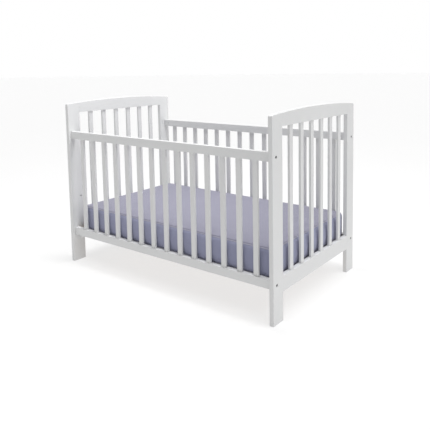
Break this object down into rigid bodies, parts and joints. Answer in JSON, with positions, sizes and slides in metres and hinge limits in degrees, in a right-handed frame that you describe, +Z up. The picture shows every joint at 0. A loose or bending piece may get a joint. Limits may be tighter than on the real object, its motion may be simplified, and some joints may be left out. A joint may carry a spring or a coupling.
{
  "type": "baby cot",
  "caption": "White painted wooden cot with fixed slatted sides, arched slatted ends, bolted frame, lift-out slatted deck and foam mattress.",
  "frame": {"origin": "on the floor, under the middle of the cot", "axes": "+X along the cot's length, -Y its front side, +Z up"},
  "size_m": [1.38, 0.776, 0.913],
  "materials": {
    "frame_paint": "satin white paint on hardwood, edges eased",
    "deck_wood": "bare sanded softwood slats",
    "bolt_steel": "zinc-plated socket bolts",
    "mattress_cover": "lavender-grey woven cover with piped edges"
  },
  "bodies": {
    "frame": {"leg_front_left": "frame_paint", "leg_front_right": "frame_paint", "leg_back_left": "frame_paint", "leg_back_right": "frame_paint", "end_top_rail_left": "frame_paint", "end_top_rail_right": "frame_paint", "end_bottom_rail_left": "frame_paint", "end_bottom_rail_right": "frame_paint", "side_top_rail_front": "frame_paint", "side_top_rail_back": "frame_paint", "side_bottom_rail_front": "frame_paint", "side_bottom_rail_back": "frame_paint", "slat_front_01": "frame_paint", "slat_front_02": "frame_paint", "slat_front_03": "frame_paint", "slat_front_04": "frame_paint", "slat_front_05": "frame_paint", "slat_front_06": "frame_paint", "slat_front_07": "frame_paint", "slat_front_08": "frame_paint", "slat_front_09": "frame_paint", "slat_front_10": "frame_paint", "slat_front_11": "frame_paint", "slat_front_12": "frame_paint", "slat_front_13": "frame_paint", "slat_front_14": "frame_paint", "slat_back_01": "frame_paint", "slat_back_02": "frame_paint", "slat_back_03": "frame_paint", "slat_back_04": "frame_paint", "slat_back_05": "frame_paint", "slat_back_06": "frame_paint", "slat_back_07": "frame_paint", "slat_back_08": "frame_paint", "slat_back_09": "frame_paint", "slat_back_10": "frame_paint", "slat_back_11": "frame_paint", "slat_back_12": "frame_paint", "slat_back_13": "frame_paint", "slat_back_14": "frame_paint", "slat_left_1": "frame_paint", "slat_left_2": "frame_paint", "slat_left_3": "frame_paint", "slat_left_4": "frame_paint", "slat_left_5": "frame_paint", "slat_left_6": "frame_paint", "slat_right_1": "frame_paint", "slat_right_2": "frame_paint", "slat_right_3": "frame_paint", "slat_right_4": "frame_paint", "slat_right_5": "frame_paint", "slat_right_6": "frame_paint", "base_bar_left": "frame_paint", "base_bar_right": "frame_paint", "base_bolt_front_left": "bolt_steel", "base_bolt_front_right": "bolt_steel", "base_bolt_back_left": "bolt_steel", "base_bolt_back_right": "bolt_steel"},
    "mattress_base": {"mattress_base": "deck_wood"},
    "mattress": {"mattress": "mattress_cover"}
  },
  "joints": [
    {"name": "mattress_base_lift", "type": "slide", "parent": "frame", "child": "mattress_base", "axis": [0, 0, 1], "range_m": [0, 0.8]},
    {"name": "mattress_lift", "type": "slide", "parent": "mattress_base", "child": "mattress", "axis": [0, 0, 1], "range_m": [0, 0.75]}
  ]
}
